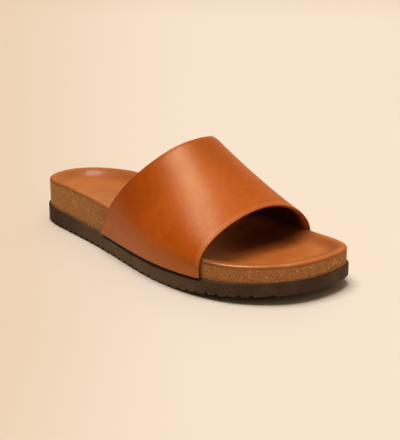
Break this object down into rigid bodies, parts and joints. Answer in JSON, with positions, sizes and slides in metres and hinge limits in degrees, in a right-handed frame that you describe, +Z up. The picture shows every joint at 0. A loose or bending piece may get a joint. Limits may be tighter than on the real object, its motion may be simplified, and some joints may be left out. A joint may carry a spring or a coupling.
{
  "type": "mule sandal",
  "caption": "Slip-on leather mule for the right foot: a wide open strap over a leather-covered cork sole with a raised rim, on a grooved rubber outsole.",
  "frame": {"origin": "centre of the shoe's outer box, on the floor that the tread stands on", "axes": "+Z up, the toe points to -Y, the lateral side of the right foot is towards -X"},
  "size_m": [0.1085, 0.28, 0.0887],
  "materials": {
    "outsole_rubber": "matt dark brown foamed rubber",
    "cork": "pressed cork granules, sealed and matt",
    "footbed_leather": "smooth tan leather with a soft sheen",
    "strap_leather": "smooth waxed cognac leather with a satin gloss"
  },
  "bodies": {
    "root": {"outsole": "outsole_rubber", "cork_midsole": "cork", "footbed": "footbed_leather", "upper": "strap_leather"}
  },
  "joints": []
}
